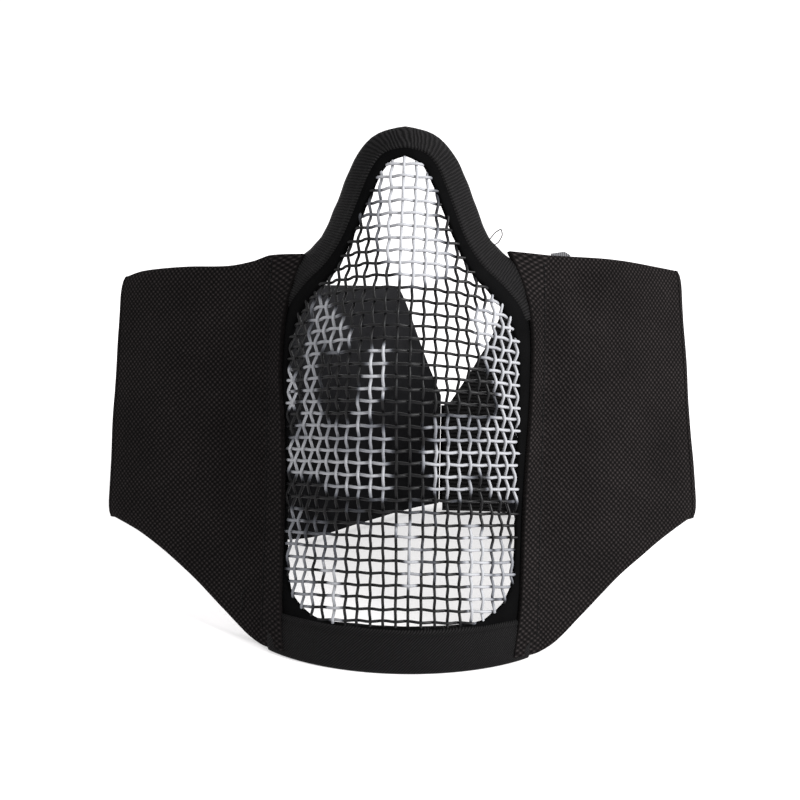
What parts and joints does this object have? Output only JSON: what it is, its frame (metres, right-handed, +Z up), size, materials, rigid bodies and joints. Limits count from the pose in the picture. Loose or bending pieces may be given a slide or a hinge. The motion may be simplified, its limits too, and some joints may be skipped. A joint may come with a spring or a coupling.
{
  "type": "face mask",
  "caption": "Lower-face mask with a woven wire camouflage panel, taped edges, padded fabric wings and a hook-and-loop closure behind the head.",
  "frame": {"origin": "on the surface the mask stands on, below the middle of its box", "axes": "+X to the right seen from the front, +Y from the face to the back of the head, +Z up; the mask leans back 16 degrees"},
  "size_m": [0.1976, 0.1658, 0.1674],
  "materials": {
    "camo_wire": "woven steel wire, sprayed black, grey and white, satin",
    "edge_tape": "ribbed woven nylon binding tape",
    "matt_facing": "matt black facing cloth",
    "wing_nylon": "coarse plain-weave nylon, slight sheen on the yarns",
    "wing_foam": "soft closed-cell foam sheet",
    "wing_lining": "brushed knitted lining",
    "elastic": "ribbed woven elastic",
    "hook_loop": "hook-and-loop pile",
    "webbing": "flat woven webbing"
  },
  "bodies": {
    "face": {"wire_mesh_panel": "camo_wire", "nose_tape": "edge_tape", "chin_tape": "edge_tape", "nose_facing": "matt_facing", "chin_facing": "matt_facing", "left_side_facing": "matt_facing", "right_side_facing": "matt_facing", "left_front_hem": "wing_nylon", "right_front_hem": "wing_nylon"},
    "left_cheek": {"left_cheek_shell": "wing_nylon", "left_cheek_foam": "wing_foam", "left_cheek_lining": "wing_lining"},
    "right_cheek": {"right_cheek_shell": "wing_nylon", "right_cheek_foam": "wing_foam", "right_cheek_lining": "wing_lining", "top_webbing_tab": "webbing"},
    "left_ear": {"left_ear_shell": "wing_nylon", "left_ear_foam": "wing_foam", "left_ear_lining": "wing_lining"},
    "right_ear": {"right_ear_shell": "wing_nylon", "right_ear_foam": "wing_foam", "right_ear_lining": "wing_lining", "elastic_strap": "elastic", "loop_patch": "hook_loop"},
    "closure": {"closure_tab": "webbing", "hook_patch": "hook_loop"}
  },
  "joints": [
    {"name": "left_cheek_fold", "type": "hinge", "parent": "face", "child": "left_cheek", "pos_m": [-0.046, -0.04084, 0.05863], "axis": [0, 0.2756, 0.9613], "range_deg": [0, 40]},
    {"name": "right_cheek_fold", "type": "hinge", "parent": "face", "child": "right_cheek", "pos_m": [0.046, -0.04084, 0.05863], "axis": [0, 0.2756, 0.9613], "range_deg": [-40, 0]},
    {"name": "left_ear_fold", "type": "hinge", "parent": "left_cheek", "child": "left_ear", "pos_m": [-0.099, -0.012, 0.05036], "axis": [0, 0.2756, 0.9613], "range_deg": [0, 60]},
    {"name": "right_ear_fold", "type": "hinge", "parent": "right_cheek", "child": "right_ear", "pos_m": [0.099, -0.012, 0.05036], "axis": [0, 0.2756, 0.9613], "range_deg": [-60, 0]},
    {"name": "closure_peel", "type": "hinge", "parent": "left_ear", "child": "closure", "pos_m": [0.0063, 0.06718, -0.00075], "axis": [0, 0.2756, 0.9613], "range_deg": [0, 120]}
  ],
  "couplings": [
    {"joint": "right_cheek_fold", "follows": "left_cheek_fold", "ratio": -1},
    {"joint": "right_ear_fold", "follows": "left_ear_fold", "ratio": -1}
  ]
}
